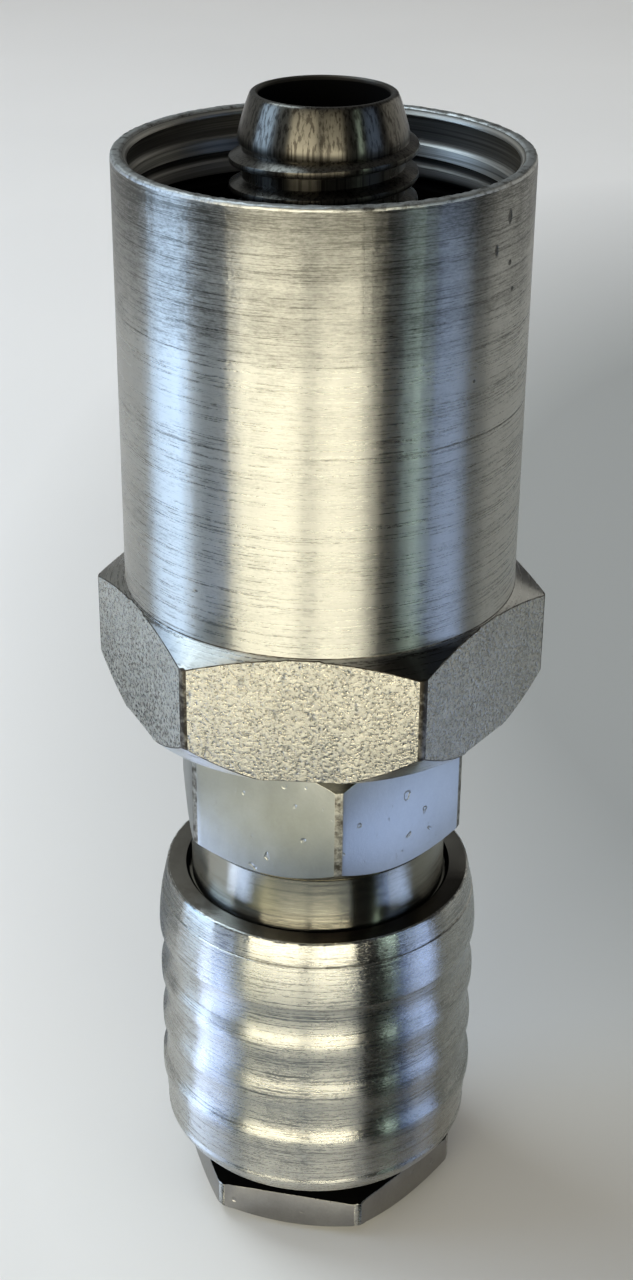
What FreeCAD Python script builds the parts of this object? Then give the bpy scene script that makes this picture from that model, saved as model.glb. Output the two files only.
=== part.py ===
import FreeCAD, Part
import math
import os
import Sketcher

# A hose coupling that stands on the hexagon of its plug half. Heights run up from that face, in mm.
# The axis of every turned piece is the Z axis. The coupler half faces down and holds the plug half.

SIZES = [
    # plug half, outside
    ("plug_hex_af", 21.8, "plug hexagon, across flats"),
    ("plug_hex_corner_r", 12.42, "plug hexagon, radius to which its corners are turned"),
    ("plug_hex_high", 3.8, "plug hexagon, height"),
    ("plug_hex_slope", 28, "plug hexagon, slope of the chamfer round its foot"),
    ("plug_hex_foot_r", 9.9, "plug hexagon, radius of the ring that it stands on"),
    ("plug_collar_r", 9.3, "plug collar above the hexagon"),
    ("plug_collar_high", 2.3, "plug collar, height"),
    ("probe_r", 7.4, "plug probe, radius"),
    ("probe_tip_chamfer", 0.6, "chamfer round the tip of the probe"),
    ("port_r", 5.72, "plug port, drilled radius before its thread"),
    ("port_deep", 8.5, "plug port, depth"),
    ("port_chamfer", 0.7, "chamfer at the mouth of the port"),
    ("plug_turn", 17.35, "angle by which the plug hexagon is turned"),
    # locking sleeve
    ("sleeve_gap", 1.8, "space between the plug hexagon and the sleeve"),
    ("sleeve_long", 26.8, "locking sleeve, length"),
    ("sleeve_wall", 2.67, "locking sleeve, wall under its grip rings"),
    ("sleeve_top_in", 0.8, "how far its top face stays inside its outer radius"),
    ("sleeve_step_in", 0.37, "the same at the foot of the top bevel"),
    ("sleeve_step_down", 2.0, "height of that top bevel"),
    ("sleeve_shoulder_down", 4.6, "depth below the top at which the full radius starts"),
    ("sleeve_bottom_in", 1.67, "the same at its lower face"),
    ("sleeve_bottom_bevel", 2.5, "height of the bevel at its lower end"),
    ("grip_first_down", 5.95, "depth below the top at which the first finger groove starts"),
    ("grip_pitch", 5.0, "distance from one finger groove to the next"),
    ("grip_count", 4, "number of finger grooves"),
    ("grip_deep", 0.45, "finger groove, depth"),
    ("grip_wide", 4.4, "finger groove, width"),
    ("grip_fall", 2.65, "finger groove, height of its long upper side"),
    ("sleeve_edge", 0.25, "chamfer round the edges of that bore"),
    ("land_up", 4.7, "height of the ball land above the sleeve's lower face"),
    ("land_long", 4.6, "ball land, length"),
    ("slide_play", 0.05, "radial play of every sliding fit"),
    # coupler body
    ("mouth_recess", 1.0, "depth of the body's mouth inside the sleeve"),
    ("mouth_chamfer", 0.8, "chamfer at the mouth of the body"),
    ("mouth_edge", 0.3, "chamfer round the outside of the body's mouth"),
    ("cut_past", 0.5, "how far a cut starts outside the metal"),
    ("blank_factor", 0.75, "radius of a hexagon's milling ring, for one across flats"),
    ("cage_wall", 2.45, "coupler body, wall of the ball cage"),
    ("body_thread_in", 1.15, "how far its threaded end lies inside its outer radius"),
    ("body_thread_long", 8.5, "coupler body, length of the thread"),
    ("body_spigot_in", 0.55, "how far its sealed spigot lies inside that thread"),
    ("body_spigot_long", 5.5, "coupler body, length of its sealed spigot"),
    ("thread_play", 0.05, "radial space left for a thread"),
    ("ball_r", 1.6, "locking ball, radius"),
    ("ball_count", 6, "number of locking balls"),
    ("ball_play", 0.05, "space round a ball in its hole and in its race"),
    # rings and seals
    ("stop_ring_thick", 1.0, "stop ring, thickness"),
    ("stop_ring_out", 0.95, "how far the stop ring stands out of the body"),
    ("stop_ring_in", 0.6, "depth of the stop ring's groove"),
    ("stop_ring_cut", 2.4, "gap in the stop ring"),
    ("mouth_seal_thick", 1.5, "mouth seal, radial thickness and height"),
    ("mouth_seal_edge", 0.35, "mouth seal, bevel of its inner edges"),
    ("seal_below_tip", 4.6, "depth of the mouth seal's groove below the probe's tip"),
    ("back_up_thick", 0.9, "back-up ring, thickness"),
    ("body_seal_thick", 1.2, "body seal, radial thickness and height"),
    ("body_seal_edge", 0.25, "body seal, bevel of its outer edges"),
    ("body_seal_up", 1.3, "height of the body seal's groove above the thread"),
    ("seal_side_play", 0.2, "play of a seal along its groove"),
    # valves, the same in both halves, measured away from the plane where they meet
    ("meet_above_sleeve", 20.4, "height of the plane where the valves meet above the sleeve's foot"),
    ("face_space", 0.5, "distance of each half's face from that plane"),
    ("mouth_hole_r", 3.9, "radius of the opening that a valve closes"),
    ("mouth_hole_long", 1.8, "length of that opening"),
    ("chamber_r", 5.2, "valve chamber, radius"),
    ("valve_open", 2.6, "how far each valve stands open"),
    ("valve_seat_over", 0.3, "overlap of the valve's cone and its seat"),
    ("valve_head_space", 0.4, "space round the valve head in its chamber"),
    ("valve_rim", 0.8, "valve head, height of its rim"),
    ("valve_nose_r", 2.0, "valve nose, radius"),
    ("valve_stem_r", 1.4, "valve stem, radius"),
    ("valve_stem_past", 0.9, "length of stem that comes through the guide"),
    ("valve_seal_start", 0.3, "valve seal, distance from the start of the cone"),
    ("valve_seal_high", 0.6, "valve seal, height"),
    ("valve_seal_deep", 0.7, "valve seal, depth of its groove where the cone is narrowest"),
    ("valve_float", 1.8, "travel of the pair of valves either way"),
    ("valve_back_space", 0.1, "space left behind a valve at the end of its travel"),
    ("guide_disc", 1.6, "valve guide, thickness of its disc"),
    ("guide_hub_r", 2.3, "valve guide, radius of its hub"),
    ("guide_hub_long", 7.4, "valve guide, length over disc and hub"),
    ("guide_hole_r", 1.15, "valve guide, radius of a flow hole"),
    ("guide_hole_count", 4, "number of flow holes in a guide"),
    ("clip_thick", 0.8, "guide clip, thickness"),
    ("clip_deep", 0.5, "depth of the clip's groove"),
    ("clip_wide", 1.2, "guide clip, width of its ring"),
    ("clip_cut", 3.0, "gap in the guide clip"),
    ("chamber_past_clip", 0.8, "length of the coupler body past its clip"),
    # springs, of square wire
    ("sleeve_wire", 0.9, "sleeve spring, wire"),
    ("sleeve_spring_room", 0.25, "space between the sleeve spring and the sleeve"),
    ("sleeve_coils", 4, "sleeve spring, turns"),
    ("valve_wire", 0.5, "valve spring, wire"),
    ("valve_coils", 3, "valve spring, turns"),
    ("spring_play", 0.1, "space between a spring and what it is wound round"),
    # hose tail
    ("neck_space", 0.3, "space between the hose tail's neck and the sleeve"),
    ("neck_bare", 4.9, "length of neck that shows above the sleeve"),
    ("skirt_in", 2.9, "how far the tail's skirt reaches into the sleeve"),
    ("skirt_collar", 2.2, "length of the collar that guides the sleeve"),
    ("tail_hex_af", 22.225, "tail hexagon, across flats"),
    ("tail_hex_corner_r", 12.65, "tail hexagon, radius to which its corners are turned"),
    ("tail_hex_high", 10.6, "tail hexagon, height"),
    ("tail_hex_slope", 43, "tail hexagon, slope of its chamfers"),
    ("tail_turn", 7.68, "angle by which the tail hexagon is turned"),
    ("tail_thread_r", 9.9, "thread of the tail that screws into the socket"),
    ("tail_thread_long", 9.0, "length of that thread above the tail hexagon"),
    ("bore_r", 4.8, "bore of the hose tail"),
    ("drill_long", 2.0, "length of the cone between the tail's two bores"),
    ("tail_floor_space", 0.4, "space above the coupler body inside the tail"),
    ("stem_wall", 1.6, "wall of the hose tail's stem"),
    ("stem_flare_long", 5.0, "length over which the stem widens to its thread"),
    ("nose_proud", 4.25, "how far the nose stands out of the socket"),
    ("nose_tip_wall", 0.65, "wall at the tip of the nose"),
    ("nose_cone_in", 0.05, "how far the foot of the nose's cone lies inside the stem"),
    ("nose_cone_long", 3.85, "nose, length of its cone"),
    ("ridge_high", 0.6, "ridge wound round the nose, height over the stem"),
    ("ridge_wide", 1.2, "ridge, width at its foot"),
    ("ridge_crest", 0.45, "ridge, width of its crest"),
    ("ridge_pitch", 2.0, "ridge, rise in one turn"),
    ("ridge_turns", 2, "ridge, number of turns"),
    ("ridge_root", 0.15, "depth to which the ridge is rooted in the stem"),
    # socket
    ("socket_gap", 1.6, "space between the two hexagons"),
    ("socket_r", 15.71, "socket, outer radius"),
    ("socket_long", 44.7, "socket, length"),
    ("socket_hex_af", 31.75, "socket hexagon, across flats"),
    ("socket_hex_high", 10.5, "socket hexagon, height"),
    ("socket_top_slope", 28, "socket hexagon, slope of its upper chamfer"),
    ("socket_foot_slope", 50, "socket hexagon, slope of its lower chamfer"),
    ("socket_foot_out", 0.33, "start of the lower chamfer outside the flats"),
    ("socket_turn", 25.43, "angle by which the socket hexagon is turned"),
    ("socket_floor", 9.0, "thickness of the socket's threaded end"),
    ("socket_foot_chamfer", 0.8, "chamfer at the socket's threaded hole"),
    ("socket_wall", 1.26, "wall of the socket round the hose space"),
    ("rim_wall", 0.71, "width of the socket's flat rim"),
]

doc = FreeCAD.newDocument("hose_coupling")
sheet = doc.addObject("Spreadsheet::Sheet", "Sizes")
for row, (name, value, note) in enumerate(SIZES, start=1):
    sheet.set("A%d" % row, note)
    sheet.set("B%d" % row, str(value))
    sheet.setAlias("B%d" % row, name)
doc.recompute()


def size(name):
    """The sheet's cell of that name, as a term of an expression."""
    return "Sizes.%s" % name


def plus(*terms):
    """The sum of cell names, numbers and expressions, as one expression."""
    return "(" + " + ".join(term_of(t) for t in terms) + ")"


def minus(first, *others):
    """The first term less all the others, as one expression."""
    return "(" + " - ".join(term_of(t) for t in (first,) + others) + ")"


def times(first, second):
    """The product of two terms, as one expression."""
    return "(%s * %s)" % (term_of(first), term_of(second))


def over(first, second):
    """The quotient of two terms, as one expression."""
    return "(%s / %s)" % (term_of(first), term_of(second))


def slope_of(name):
    """The tangent of an angle kept in the sheet."""
    return "tan(%s)" % size(name)


def term_of(term):
    """A name becomes its cell. A number or an expression stays as it is."""
    known = isinstance(term, str) and term.isidentifier()
    return size(term) if known else str(term)


def number(expression):
    """What an expression comes to."""
    return float(sheet.evalExpression(term_of(expression)))


def count(name):
    """A whole number kept in the sheet."""
    return int(round(number(name)))


def origin_item(body, role):
    """A plane or axis of the body's own origin."""
    return next(item for item in body.Origin.OriginFeatures if item.Role == role)


def new_body(label, turn=None):
    """A body of its own, turned about the Z axis where the piece has flats or holes."""
    body = doc.addObject("PartDesign::Body", label)
    body.Label = label
    if turn:
        body.Placement = FreeCAD.Placement(
            FreeCAD.Vector(0, 0, 0), FreeCAD.Rotation(FreeCAD.Vector(0, 0, 1), number(turn)))
        body.setExpression("Placement.Rotation.Angle", term_of(turn))
    return body


def new_sketch(body, role, name, lift=None):
    """A sketch on one of the body's origin planes, lifted off it where lift is given."""
    sketch = body.newObject("Sketcher::SketchObject", name)
    sketch.AttachmentSupport = [(origin_item(body, role), "")]
    sketch.MapMode = "FlatFace"
    if lift:
        sketch.setExpression("AttachmentOffset.Base.z", term_of(lift))
    return sketch


def hold(sketch, kind, edge, end, expression):
    """One distance of a point from the sketch's origin, bound to an expression."""
    value = number(expression)
    if abs(value) < 1e-9:
        axis = -2 if kind == "DistanceX" else -1
        sketch.addConstraint(Sketcher.Constraint("PointOnObject", edge, end, axis))
        return
    index = sketch.addConstraint(Sketcher.Constraint(kind, -1, 1, edge, end, value))
    sketch.setExpression("Constraints[%d]" % index, term_of(expression))


def draw_outline(sketch, corners):
    """Straight edges from corner to corner and back to the first, each corner held both ways."""
    spots = [FreeCAD.Vector(number(x), number(y), 0) for x, y in corners]
    last = len(spots) - 1
    first_edge = sketch.GeometryCount
    for k, spot in enumerate(spots):
        following = spots[0] if k == last else spots[k + 1]
        sketch.addGeometry(Part.LineSegment(spot, following), False)
    for k in range(last + 1):
        following = first_edge if k == last else first_edge + k + 1
        sketch.addConstraint(Sketcher.Constraint("Coincident", first_edge + k, 2, following, 1))
    for k, (x, y) in enumerate(corners):
        hold(sketch, "DistanceX", first_edge + k, 1, x)
        hold(sketch, "DistanceY", first_edge + k, 1, y)


def draw_circle(sketch, x, y, radius):
    """A circle whose centre and radius are bound to expressions."""
    centre = FreeCAD.Vector(number(x), number(y), 0)
    circle = sketch.addGeometry(
        Part.Circle(centre, FreeCAD.Vector(0, 0, 1), number(radius)), False)
    index = sketch.addConstraint(Sketcher.Constraint("Radius", circle, number(radius)))
    sketch.setExpression("Constraints[%d]" % index, term_of(radius))
    hold(sketch, "DistanceX", circle, 3, x)
    hold(sketch, "DistanceY", circle, 3, y)


def revolve(body, kind, sketch, name):
    """A full turn of a sketch about its upright axis, added or cut."""
    feature = body.newObject("PartDesign::%s" % kind, name)
    feature.Profile = sketch
    feature.ReferenceAxis = (sketch, ["V_Axis"])
    feature.Angle = 360
    sketch.Visibility = False
    return feature


def turned(label, corners, turn=None):
    """A body turned on the lathe: corners are (radius, height) round its half section."""
    body = new_body(label, turn)
    sketch = new_sketch(body, "XZ_Plane", label + "_section")
    draw_outline(sketch, corners)
    revolve(body, "Revolution", sketch, label + "_turned")
    return body


def cut_ring(body, name, corners):
    """A groove turned into the body: corners are (radius, height) round its section."""
    sketch = new_sketch(body, "XZ_Plane", name + "_section")
    draw_outline(sketch, corners)
    return revolve(body, "Groove", sketch, name)


def repeat_up(body, name, feature, step, number_of):
    """The same cut again at equal steps along the axis, downwards."""
    pattern = body.newObject("PartDesign::LinearPattern", name)
    pattern.Originals = [feature]
    pattern.Direction = (origin_item(body, "Z_Axis"), [""])
    pattern.Reversed = True
    pattern.Mode = "Spacing"
    pattern.Offset = number(step)
    pattern.setExpression("Offset", term_of(step))
    pattern.Occurrences = count(number_of)
    body.Tip = pattern
    return pattern


def repeat_round(body, name, features, number_of):
    """The same cuts again at equal angles round the axis."""
    pattern = body.newObject("PartDesign::PolarPattern", name)
    pattern.Originals = features
    pattern.Axis = (origin_item(body, "Z_Axis"), [""])
    pattern.Angle = 360
    pattern.Occurrences = count(number_of)
    body.Tip = pattern
    return pattern


def mill_hexagon(body, name, across_flats, low, high):
    """Six flats milled on a turned blank: what lies outside the hexagon is pocketed away."""
    sketch = new_sketch(body, "XY_Plane", name + "_outline", lift=high)
    corner = over(across_flats, times(2, "cos(30)"))
    draw_outline(sketch, [
        (times(corner, "cos(%d)" % (30 + 60 * k)), times(corner, "sin(%d)" % (30 + 60 * k)))
        for k in range(6)])
    draw_circle(sketch, 0, 0, times(across_flats, "blank_factor"))
    pocket = body.newObject("PartDesign::Pocket", name)
    pocket.Profile = sketch
    pocket.setExpression("Length", minus(high, low))
    sketch.Visibility = False
    return pocket


def cut_slot(body, name, wide, low, high, reach):
    """A slot cut right through one side of a ring, to make it a snap ring."""
    sketch = new_sketch(body, "XY_Plane", name + "_outline", lift=high)
    half = over(wide, 2)
    draw_outline(sketch, [
        (0, minus(0, half)), (reach, minus(0, half)), (reach, half), (0, half)])
    pocket = body.newObject("PartDesign::Pocket", name)
    pocket.Profile = sketch
    pocket.setExpression("Length", minus(high, low))
    sketch.Visibility = False
    return pocket


def coil(label, inner_r, wire, low, high, coils):
    """A compression spring of square wire, with both ends ground flat."""
    free = minus(high, low)
    middle_r = plus(inner_r, over(wire, 2))
    path = doc.addObject("Part::Helix", label + "_path")
    path.setExpression("Radius", middle_r)
    path.setExpression("Height", free)
    path.setExpression("Pitch", over(free, coils))
    path.setExpression("Placement.Base.z", term_of(low))
    section = doc.addObject("Sketcher::SketchObject", label + "_wire")
    section.Placement = FreeCAD.Placement(
        FreeCAD.Vector(0, 0, 0), FreeCAD.Rotation(FreeCAD.Vector(1, 0, 0), 90))
    draw_outline(section, [
        (inner_r, minus(low, over(wire, 2))), (plus(inner_r, wire), minus(low, over(wire, 2))),
        (plus(inner_r, wire), plus(low, over(wire, 2))), (inner_r, plus(low, over(wire, 2)))])
    doc.recompute()
    wound = doc.addObject("Part::Sweep", label + "_wound")
    wound.Sections = [section]
    wound.Spine = (path, ["Edge1"])
    wound.Solid = True
    wound.Frenet = True
    length = doc.addObject("Part::Cylinder", label + "_length")
    length.setExpression("Radius", plus(inner_r, wire, wire))
    length.setExpression("Height", free)
    length.setExpression("Placement.Base.z", term_of(low))
    spring = doc.addObject("Part::Common", label)
    spring.Label = label
    spring.Base = wound
    spring.Tool = length
    return spring


# radii that fit one inside another
body_bore_r = plus("probe_r", "slide_play")
body_r = plus(body_bore_r, "cage_wall")
body_thread_r = minus(body_r, "body_thread_in")
body_spigot_r = minus(body_thread_r, "body_spigot_in")
ball_circle_r = minus(body_r, "ball_r")
sleeve_bore_r = plus(body_r, "spring_play", "sleeve_wire", "sleeve_spring_room")
sleeve_r = plus(sleeve_bore_r, "sleeve_wall")
neck_r = minus(sleeve_bore_r, "neck_space")
stem_r = plus("bore_r", "stem_wall")
ridge_r = plus(stem_r, "ridge_high")
cavity_r = minus("socket_r", "socket_wall")
rim_r = minus("socket_r", "rim_wall")
valve_head_r = minus("chamber_r", "valve_head_space")
cone_low_r = minus("mouth_hole_r", "valve_seat_over")

# heights of the outside, from the floor up
hex_top = plus("plug_hex_high")
sleeve_low = plus(hex_top, "sleeve_gap")
sleeve_top = plus(sleeve_low, "sleeve_long")
tail_hex_low = plus(sleeve_top, "neck_bare")
tail_hex_top = plus(tail_hex_low, "tail_hex_high")
socket_low = plus(tail_hex_top, "socket_gap")
socket_top = plus(socket_low, "socket_long")
nose_top = plus(socket_top, "nose_proud")

# heights of the lock, inside the sleeve
mouth_low = plus(sleeve_low, "mouth_recess")
land_low = plus(sleeve_low, "land_up")
land_top = plus(land_low, "land_long")
ball_z = plus(land_low, over("land_long", 2))
skirt_low = minus(sleeve_top, "skirt_in")

# heights of the valves: away(d) lies d above the meeting plane in the coupler, below it in the plug
meet_z = plus(sleeve_low, "meet_above_sleeve")
seat_start = plus("face_space", "mouth_hole_long")
seat_end = plus(seat_start, minus("chamber_r", "mouth_hole_r"))
head_top = minus(plus(seat_start, "valve_open"), "valve_seat_over")
cone_end = plus(head_top, minus(valve_head_r, cone_low_r))
head_back = plus(cone_end, "valve_rim")
seal_near = plus(head_top, "valve_seal_start")
seal_far = plus(seal_near, "valve_seal_high")
seal_in_r = minus(plus(cone_low_r, "valve_seal_start"), "valve_seal_deep")
hub_top = plus(head_back, "valve_float", "valve_back_space")
guide_far = plus(hub_top, "guide_hub_long")
guide_near = minus(guide_far, "guide_disc")
clip_far = plus(guide_far, "clip_thick")
stem_end = plus(guide_far, "valve_stem_past")
body_top = plus(meet_z, clip_far, "chamber_past_clip")


def away(distance, half):
    """A height at that distance from the meeting plane, up in the coupler or down in the plug."""
    return plus(meet_z, distance) if half == "coupler" else minus(meet_z, distance)


def make_socket():
    """Socket: a turned cup with a hexagon at its foot, which grips the hose round the tail."""
    corner_r = over("socket_hex_af", times(2, "cos(30)"))
    hex_top_z = plus(socket_low, "socket_hex_high")
    foot_r = plus(over("socket_hex_af", 2), "socket_foot_out")
    bevel = minus(rim_r, cavity_r)
    hole_r = plus("tail_thread_r", "thread_play")
    body = turned("socket", [
        (plus(hole_r, "socket_foot_chamfer"), socket_low),
        (foot_r, socket_low),
        (corner_r, plus(socket_low, times(minus(corner_r, foot_r), slope_of("socket_foot_slope")))),
        (corner_r, minus(hex_top_z, times(minus(corner_r, "socket_r"), slope_of("socket_top_slope")))),
        ("socket_r", hex_top_z),
        ("socket_r", socket_top),
        (rim_r, socket_top),
        (cavity_r, minus(socket_top, bevel)),
        (cavity_r, plus(socket_low, "socket_floor")),
        (hole_r, plus(socket_low, "socket_floor")),
        (hole_r, plus(socket_low, "socket_foot_chamfer")),
    ], "socket_turn")
    mill_hexagon(body, "socket_flats", "socket_hex_af", socket_low, hex_top_z)
    return body


def make_hose_tail():
    """Hose tail: nose, wound ridge, thread, hexagon, neck and skirt, turned from one hexagon bar."""
    hex_rise = times(minus("tail_hex_corner_r", over("tail_hex_af", 2)), slope_of("tail_hex_slope"))
    thread_hole_r = plus(body_thread_r, "thread_play")
    spigot_hole_r = plus(body_spigot_r, "slide_play")
    spigot_low = plus(skirt_low, "body_thread_long")
    spigot_end = plus(body_top, "tail_floor_space")
    thread_top = plus(tail_hex_top, "tail_thread_long")
    cone_low = minus(nose_top, "nose_cone_long")
    body = turned("hose_tail", [
        (thread_hole_r, skirt_low),
        (minus(sleeve_bore_r, "slide_play"), skirt_low),
        (minus(sleeve_bore_r, "slide_play"), plus(skirt_low, "skirt_collar")),
        (neck_r, plus(skirt_low, "skirt_collar")),
        (neck_r, tail_hex_low),
        (over("tail_hex_af", 2), tail_hex_low),
        ("tail_hex_corner_r", plus(tail_hex_low, hex_rise)),
        ("tail_hex_corner_r", minus(tail_hex_top, hex_rise)),
        (over("tail_hex_af", 2), tail_hex_top),
        ("tail_thread_r", tail_hex_top),
        ("tail_thread_r", thread_top),
        (stem_r, plus(thread_top, "stem_flare_long")),
        (stem_r, cone_low),
        (minus(stem_r, "nose_cone_in"), cone_low),
        (plus("bore_r", "nose_tip_wall"), nose_top),
        ("bore_r", nose_top),
        ("bore_r", plus(spigot_end, "drill_long")),
        (spigot_hole_r, spigot_end),
        (spigot_hole_r, spigot_low),
        (thread_hole_r, spigot_low),
    ], "tail_turn")
    mill_hexagon(body, "tail_flats", "tail_hex_af", tail_hex_low, tail_hex_top)
    wind_ridge(body, cone_low)
    return body


def wind_ridge(body, cone_low):
    """The ridge that bites the hose: a right-hand thread of few turns below the nose."""
    start = minus(cone_low, times("ridge_pitch", "ridge_turns"), over("ridge_wide", 2))
    root_r = minus(stem_r, "ridge_root")
    sketch = new_sketch(body, "XZ_Plane", "ridge_section")
    draw_outline(sketch, [
        (root_r, minus(start, over("ridge_wide", 2))),
        (ridge_r, minus(start, over("ridge_crest", 2))),
        (ridge_r, plus(start, over("ridge_crest", 2))),
        (root_r, plus(start, over("ridge_wide", 2))),
    ])
    doc.recompute()
    ridge = body.newObject("PartDesign::AdditiveHelix", "ridge")
    ridge.Profile = sketch
    ridge.ReferenceAxis = (sketch, ["V_Axis"])
    ridge.Mode = "pitch-turns-angle"
    ridge.setExpression("Pitch", size("ridge_pitch"))
    ridge.setExpression("Turns", size("ridge_turns"))
    ridge.LeftHanded = False
    ridge.Reversed = False
    sketch.Visibility = False
    return ridge


def make_coupler_body():
    """Coupler body: ball cage, seal groove and valve chamber in one turned piece."""
    body = turned("coupler_body", [
        (plus(body_bore_r, "mouth_chamfer"), mouth_low),
        (minus(body_r, "mouth_edge"), mouth_low),
        (body_r, plus(mouth_low, "mouth_edge")),
        (body_r, skirt_low),
        (body_thread_r, skirt_low),
        (body_thread_r, plus(skirt_low, "body_thread_long")),
        (body_spigot_r, plus(skirt_low, "body_thread_long")),
        (body_spigot_r, body_top),
        ("chamber_r", body_top),
        ("chamber_r", away(seat_end, "coupler")),
        ("mouth_hole_r", away(seat_start, "coupler")),
        ("mouth_hole_r", away("face_space", "coupler")),
        (body_bore_r, away("face_space", "coupler")),
        (body_bore_r, plus(mouth_low, "mouth_chamfer")),
    ])
    stop_groove_r = minus(body_r, "stop_ring_in")
    cut_ring(body, "stop_ring_groove", ring_corners(
        stop_groove_r, plus(body_r, "cut_past"), minus(land_low, "stop_ring_thick"), land_low))
    seal_low, seal_high = mouth_seal_groove()
    cut_ring(body, "mouth_seal_groove", ring_corners(
        minus(body_bore_r, "cut_past"), seal_outer_r(), seal_low, seal_high))
    body_seal_low, body_seal_high = body_seal_groove()
    cut_ring(body, "body_seal_groove", ring_corners(
        minus(body_spigot_r, "body_seal_thick"), plus(body_spigot_r, "cut_past"),
        body_seal_low, body_seal_high))
    cut_ring(body, "clip_groove", ring_corners(
        minus("chamber_r", "cut_past"), plus("chamber_r", "clip_deep"),
        away(guide_far, "coupler"), away(clip_far, "coupler")))
    drill_ball_holes(body)
    return body


def ring_corners(inner_r, outer_r, low, high):
    """The four corners of a plain rectangular ring section."""
    return [(inner_r, low), (outer_r, low), (outer_r, high), (inner_r, high)]


def seal_outer_r():
    """The bottom of the mouth seal's groove."""
    return plus(body_bore_r, "mouth_seal_thick")


def mouth_seal_groove():
    """Lower and upper side of the groove that holds the mouth seal and its back-up ring."""
    high = minus(away("face_space", "plug"), "seal_below_tip")
    low = minus(high, "mouth_seal_thick", "back_up_thick", "seal_side_play")
    return low, high


def body_seal_groove():
    """Lower and upper side of the groove that holds the body seal."""
    low = plus(skirt_low, "body_thread_long", "body_seal_up")
    return low, plus(low, "body_seal_thick", "seal_side_play")


def drill_ball_holes(body):
    """Ball holes drilled through the wall of the cage, at equal angles."""
    sketch = new_sketch(body, "YZ_Plane", "ball_hole_outline", lift=minus(body_bore_r, "cut_past"))
    draw_circle(sketch, 0, ball_z, plus("ball_r", "ball_play"))
    hole = body.newObject("PartDesign::Pocket", "ball_hole")
    hole.Profile = sketch
    hole.Reversed = True
    hole.setExpression("Length", plus(body_r, "cut_past"))
    sketch.Visibility = False
    repeat_round(body, "ball_holes", [hole], "ball_count")


def make_locking_balls():
    """Locking balls: one group of loose balls, each turned in a few faces, in holes of the cage."""
    pole = times("ball_r", "cos(30)")
    section = doc.addObject("Sketcher::SketchObject", "ball_section")
    section.Placement = FreeCAD.Placement(
        FreeCAD.Vector(0, 0, 0), FreeCAD.Rotation(FreeCAD.Vector(1, 0, 0), 90))
    draw_outline(section, [
        (0, minus(0, pole)), (over("ball_r", 2), minus(0, pole)),
        ("ball_r", 0), (over("ball_r", 2), pole), (0, pole)])
    doc.recompute()
    balls = []
    for k in range(count("ball_count")):
        ball = doc.addObject("Part::Revolution", "ball_%d" % (k + 1))
        ball.Source = section
        ball.Axis = FreeCAD.Vector(0, 0, 1)
        ball.Angle = 360
        ball.Solid = True
        turn = "%d / %s" % (360 * k, size("ball_count"))
        ball.setExpression("Placement.Base.x", times(ball_circle_r, "cos(%s)" % turn))
        ball.setExpression("Placement.Base.y", times(ball_circle_r, "sin(%s)" % turn))
        ball.setExpression("Placement.Base.z", ball_z)
        balls.append(ball)
    group = doc.addObject("Part::Compound", "locking_balls")
    group.Label = "locking_balls"
    group.Links = balls
    return group


def make_locking_sleeve():
    """Locking sleeve: turned grip with finger grooves, and a land that holds the balls in."""
    land_r = plus(body_r, "slide_play")
    body = turned("locking_sleeve", [
        (plus(sleeve_bore_r, "sleeve_edge"), sleeve_low),
        (minus(sleeve_r, "sleeve_bottom_in"), sleeve_low),
        (sleeve_r, plus(sleeve_low, "sleeve_bottom_bevel")),
        (sleeve_r, minus(sleeve_top, "sleeve_shoulder_down")),
        (minus(sleeve_r, "sleeve_step_in"), minus(sleeve_top, "sleeve_step_down")),
        (minus(sleeve_r, "sleeve_top_in"), sleeve_top),
        (plus(sleeve_bore_r, "sleeve_edge"), sleeve_top),
        (sleeve_bore_r, minus(sleeve_top, "sleeve_edge")),
        (sleeve_bore_r, land_top),
        (land_r, land_top),
        (land_r, land_low),
        (sleeve_bore_r, land_low),
        (sleeve_bore_r, plus(sleeve_low, "sleeve_edge")),
    ])
    groove_top = minus(sleeve_top, "grip_first_down")
    groove_low = minus(groove_top, "grip_wide")
    first = cut_ring(body, "finger_groove", [
        (plus(sleeve_r, "cut_past"), groove_top),
        (sleeve_r, groove_top),
        (minus(sleeve_r, "grip_deep"), minus(groove_top, "grip_fall")),
        (sleeve_r, groove_low),
        (plus(sleeve_r, "cut_past"), groove_low),
    ])
    repeat_up(body, "finger_grooves", first, "grip_pitch", "grip_count")
    return body


def make_stop_ring():
    """Stop ring: a snap ring on the body's nose that the sleeve rests on."""
    low = minus(land_low, "stop_ring_thick")
    outer_r = plus(body_r, "stop_ring_out")
    body = turned("sleeve_stop_ring", ring_corners(
        minus(body_r, "stop_ring_in"), outer_r, low, land_low))
    cut_slot(body, "stop_ring_gap", "stop_ring_cut", low, land_low, plus(outer_r, "cut_past"))
    return body


def make_mouth_seal():
    """Mouth seal: a rubber ring that seals on the probe with its bevelled inner side."""
    high = mouth_seal_groove()[1]
    low = minus(high, "mouth_seal_thick")
    return turned("mouth_seal", [
        (plus(body_bore_r, "mouth_seal_edge"), low),
        (seal_outer_r(), low),
        (seal_outer_r(), high),
        (plus(body_bore_r, "mouth_seal_edge"), high),
        (body_bore_r, minus(high, "mouth_seal_edge")),
        (body_bore_r, plus(low, "mouth_seal_edge")),
    ])


def make_body_seal():
    """Body seal: a rubber ring that seals in the hose tail with its bevelled outer side."""
    low = body_seal_groove()[0]
    high = plus(low, "body_seal_thick")
    edge_r = minus(body_spigot_r, "body_seal_edge")
    inner_r = minus(body_spigot_r, "body_seal_thick")
    return turned("body_seal", [
        (inner_r, low),
        (edge_r, low),
        (body_spigot_r, plus(low, "body_seal_edge")),
        (body_spigot_r, minus(high, "body_seal_edge")),
        (edge_r, high),
        (inner_r, high),
    ])


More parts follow.
